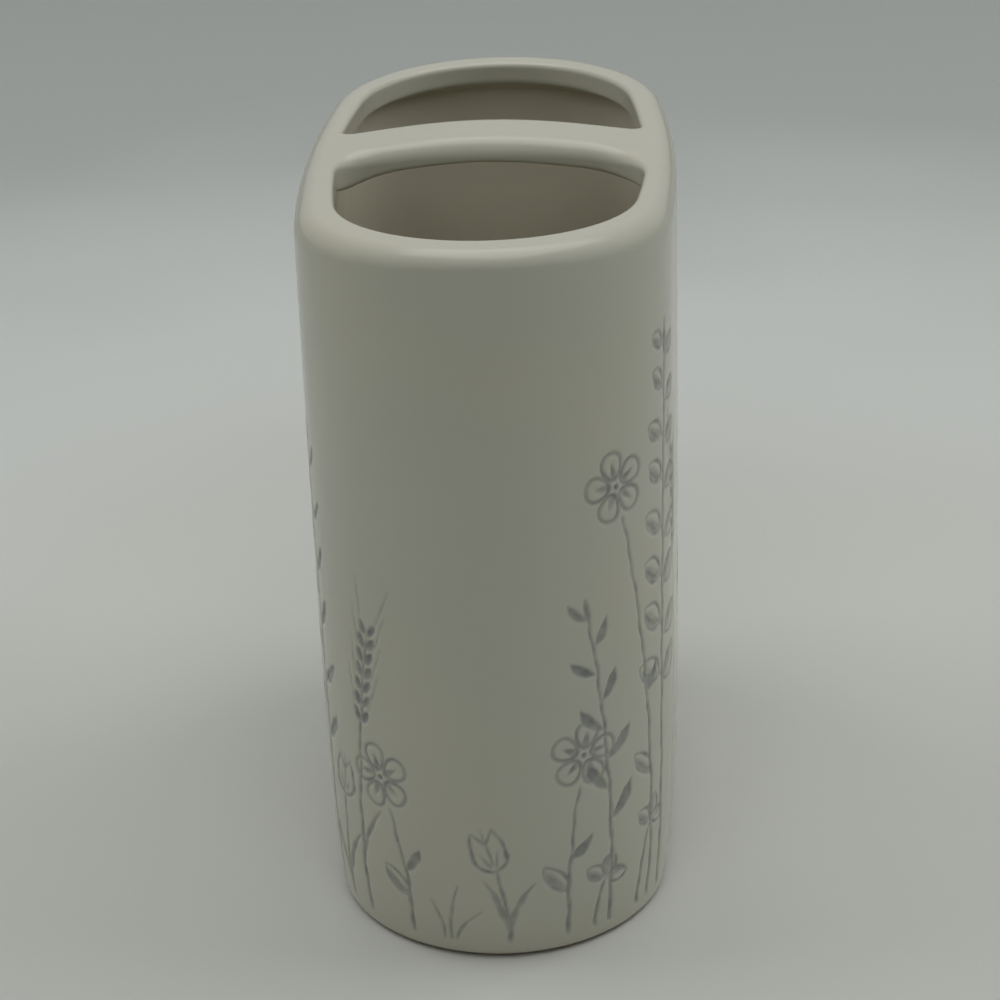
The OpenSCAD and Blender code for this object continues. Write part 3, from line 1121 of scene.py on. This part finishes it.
def glaze_material(colours):
    """Ivory glaze: patchy in tone, painted lighter and warmer inside the cavity for its bounce light,
    dark where the stain lies, bare clay under the foot.
    """
    glaze = Finish("ivory_glaze")
    patches = glaze.noise(scale=26.0, detail=3.0)
    specks = glaze.noise(scale=620.0, detail=4.0)
    ripple = glaze.noise(scale=140.0, detail=2.0)
    colour = glaze.mixed(glaze.spread(patches, 0.35, 0.65), colours.glaze, colours.glaze_cool)
    # Painted bounce light: the cavity, marked inner, gets a lighter, warmer ivory.
    colour = glaze.mixed(glaze.mark("inner"), colour, colours.glaze_painted_bounce)
    pool = glaze.spread(specks, *NOISE, 0.72, 1.0)
    cover = glaze.maths("MULTIPLY", glaze.mark("stain"), pool)
    cover = glaze.spread(cover, 0.0, 1.0, 0.0, STAIN_COVER)
    colour = glaze.mixed(cover, colour, colours.stain)
    height = glaze.node("ShaderNodeSeparateXYZ", {0: glaze.place}).outputs["Z"]
    level = glaze.maths("ADD", height, glaze.spread(patches, *NOISE, -CLAY_WANDER, CLAY_WANDER))
    bare = glaze.spread(level, *CLAY_EDGE, 1.0, 0.0)
    colour = glaze.mixed(bare, colour, colours.clay)
    gloss = glaze.spread(patches, *NOISE, *GLAZE_ROUGH)
    sockets = {MIX_SHARE: bare, **dict(zip(MIX_VALUES, (gloss, CLAY_ROUGH)))}
    rough = glaze.node("ShaderNodeMix", sockets, data_type="FLOAT").outputs[VALUE_RESULT]
    soft = glaze.bump(ripple, strength=0.12, distance=0.0006)
    grain = glaze.bump(specks, strength=0.05, distance=0.0003, Normal=soft)
    glaze.shader.inputs["IOR"].default_value = 1.5
    return glaze.dress(colour, rough, grain)


def rubber_material(colours):
    """Dull dark rubber with a fine mottled grain."""
    rubber = Finish("foot_rubber")
    grain = rubber.noise(scale=1500.0, detail=3.0)
    dust = rubber.spread(rubber.noise(scale=220.0, detail=2.0), 0.4, 0.75)
    colour = rubber.mixed(dust, colours.rubber, [1.7 * c for c in colours.rubber])
    rough = rubber.spread(grain, *NOISE, *RUBBER_ROUGH)
    return rubber.dress(colour, rough, rubber.bump(grain, strength=0.3, distance=0.0002))


def floor_material(colours):
    """Pale matt table top with light and shade painted in: brighter in a soft ring round the holder,
    a little darker next to it and greyer far off.

    Past 0.7 m the camera sees it fade into the grey of the room, so that no horizon shows.
    """
    floor = Finish("pale_floor")
    away = floor.node("ShaderNodeVectorMath", {0: floor.place}, operation="LENGTH").outputs["Value"]
    drift = floor.spread(floor.noise(scale=5.0, detail=2.0), *NOISE, -0.04, 0.04)
    away = floor.maths("ADD", away, drift)
    near, far, haze = [floor.spread(away, *span, way="SMOOTHSTEP") for span in FLOOR_RANGES]
    # Painted light and shade: the floor's grey next to the holder brightens into a ring further out,
    # then turns greyer far off.
    colour = floor.mixed(near, colours.floor, colours.floor_painted_light_ring)
    colour = floor.mixed(far, colour, colours.floor_painted_falloff)
    grain = floor.noise(scale=900.0, detail=3.0)
    rough = floor.spread(grain, *NOISE, *FLOOR_ROUGH)
    seen = floor.node("ShaderNodeLightPath").outputs["Is Camera Ray"]
    share = floor.maths("MULTIPLY", haze, seen)
    room = floor.node("ShaderNodeEmission", {"Color": ROOM_GREY}).outputs["Emission"]
    blend = floor.node("ShaderNodeMixShader", {0: share, 1: floor.shader.outputs["BSDF"], 2: room})
    floor.tree.links.new(blend.outputs[0], floor.tree.nodes["Material Output"].inputs["Surface"])
    return floor.dress(colour, rough, floor.bump(grain, strength=0.05, distance=0.0002))


# Pieces and stage


def linked(name, data):
    """A new object in the scene, at the origin."""
    made = bpy.data.objects.new(name, data)
    bpy.context.scene.collection.objects.link(made)
    return made


def shown(name, mesh, material):
    """A new object with its mesh and material."""
    made = linked(name, mesh)
    mesh.materials.clear()
    mesh.materials.append(material)
    return made


class HOLDER_OT_glazed_shell(bpy.types.Operator):
    """Builds the glazed shell with its rim, crossbar, cavity and pressed meadow"""

    bl_idname = "holder.glazed_shell"
    bl_label = "Glazed shell"

    def execute(self, context):
        scene = context.scene
        mesh = glazed_mesh(scene.holder_sizes)
        piece = shown("glazed_holder", mesh, glaze_material(scene.holder_colours))
        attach(piece, "root")
        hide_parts("body", "crossbar")
        return {"FINISHED"}


class HOLDER_OT_rubber_feet(bpy.types.Operator):
    """Gives the four rubber feet their material"""

    bl_idname = "holder.rubber_feet"
    bl_label = "Rubber feet"

    def execute(self, context):
        rubber = rubber_material(context.scene.holder_colours)
        for name in PAD_NODES:
            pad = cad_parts[name]
            if not pad.material_slots:
                raise RuntimeError(name + " has no material slot")
            for place in pad.material_slots:
                place.material = rubber
        return {"FINISHED"}


def add_lamp(name, watts, size, place, in_gloss):
    """A square area lamp that looks at the holder."""
    data = bpy.data.lights.new(name, "AREA")
    data.energy = watts
    data.size = size
    lamp = linked(name, data)
    lamp.location = place
    lamp.rotation_mode = "QUATERNION"
    lamp.rotation_quaternion = (Vector(LAMP_TARGET) - Vector(place)).to_track_quat("-Z", "Y")
    lamp.visible_glossy = in_gloss


def add_camera(sizes):
    """The photograph's viewpoint.

    The camera looks along y, down by the pitch and rolled about its own line. It is moved aside
    so that the holder's middle falls on the picture centre, then turned about z by the yaw.
    """
    pitch, roll, yaw = (math.radians(angle) for angle in CAMERA_ANGLES)
    forward = Vector((0.0, math.cos(pitch), -math.sin(pitch)))
    right, up = Vector((1.0, 0.0, 0.0)), Vector((0.0, math.sin(pitch), math.cos(pitch)))
    axis_x = right * math.cos(roll) - up * math.sin(roll)
    axis_y = right * math.sin(roll) + up * math.cos(roll)
    shift_x = -(CENTRE_U - PICTURE / 2.0) * DISTANCE / FOCAL
    shift_y = (CENTRE_V - PICTURE / 2.0) * DISTANCE / FOCAL
    local = Matrix((axis_x, axis_y, -forward)).transposed().to_4x4()
    place = axis_x * shift_x + axis_y * shift_y - forward * DISTANCE
    local.translation = place + Vector((0.0, 0.0, sizes.rim_height / 2.0))
    data = bpy.data.cameras.new("photo_camera")
    data.sensor_width = 36.0
    data.lens = FOCAL / PICTURE * data.sensor_width
    data.clip_start = 0.01
    camera = linked("photo_camera", data)
    camera.matrix_world = Matrix.Rotation(-yaw, 4, "Z") @ local
    bpy.context.scene.camera = camera


def pale_room():
    """A pale grey room, seen by the camera and in the gloss, that adds no other light."""
    world = bpy.data.worlds.new("pale_room")
    world.use_nodes = True
    tree = world.node_tree
    path = tree.nodes.new("ShaderNodeLightPath")
    seen = tree.nodes.new("ShaderNodeMath")
    seen.operation = "MAXIMUM"
    tree.links.new(path.outputs["Is Camera Ray"], seen.inputs[0])
    tree.links.new(path.outputs["Is Glossy Ray"], seen.inputs[1])
    tree.nodes["Background"].inputs["Color"].default_value = ROOM_GREY
    tree.links.new(seen.outputs[0], tree.nodes["Background"].inputs["Strength"])
    return world


class HOLDER_OT_stage(bpy.types.Operator):
    """Sets up the pale floor, the soft lamps and the camera"""

    bl_idname = "holder.stage"
    bl_label = "Stage"

    def execute(self, context):
        scene = context.scene
        side = np.linspace(-FLOOR_HALF, FLOOR_HALF, FLOOR_POINTS)
        x, y = np.meshgrid(side, side)
        points = np.stack([x, y, np.full(x.shape, -FLOOR_DROP)], -1).reshape(-1, 3)
        number = np.arange(x.size).reshape(x.shape)
        mesh = bpy.data.meshes.new("pale_floor")
        mesh.from_pydata(points.tolist(), [], grid_quads(number[:, :-1], number[:, 1:]).tolist())
        shown("pale_floor", mesh, floor_material(scene.holder_colours))
        for lamp in LAMPS:
            add_lamp(*lamp)
        add_camera(scene.holder_sizes)
        scene.world = pale_room()
        scene.view_settings.view_transform = "Standard"
        return {"FINISHED"}


class HOLDER_PT_panel(bpy.types.Panel):
    """Lists the holder's sizes, colours and building steps"""

    bl_idname = "HOLDER_PT_panel"
    bl_label = "Toothbrush holder"
    bl_space_type = "VIEW_3D"
    bl_region_type = "UI"
    bl_category = "Holder"

    def draw(self, context):
        layout = self.layout
        for settings in (context.scene.holder_sizes, context.scene.holder_colours):
            column = layout.column()
            for name in settings.__annotations__:
                column.prop(settings, name)
        for operator in STEPS:
            layout.operator(operator.bl_idname)


STEPS = (HOLDER_OT_glazed_shell, HOLDER_OT_rubber_feet, HOLDER_OT_stage)
CLASSES = (HolderSizes, HolderColours, *STEPS, HOLDER_PT_panel)


def register():
    """Adds the settings, operators and panel to Blender."""
    for cls in CLASSES:
        bpy.utils.register_class(cls)
    bpy.types.Scene.holder_sizes = bpy.props.PointerProperty(type=HolderSizes)
    bpy.types.Scene.holder_colours = bpy.props.PointerProperty(type=HolderColours)


def unregister():
    """Takes them out again."""
    del bpy.types.Scene.holder_colours
    del bpy.types.Scene.holder_sizes
    for cls in reversed(CLASSES):
        bpy.utils.unregister_class(cls)


def main():
    """Builds the holder and its stage."""
    register()
    bpy.ops.holder.glazed_shell()
    bpy.ops.holder.rubber_feet()
    bpy.ops.holder.stage()


if __name__ == "__main__":
    main()
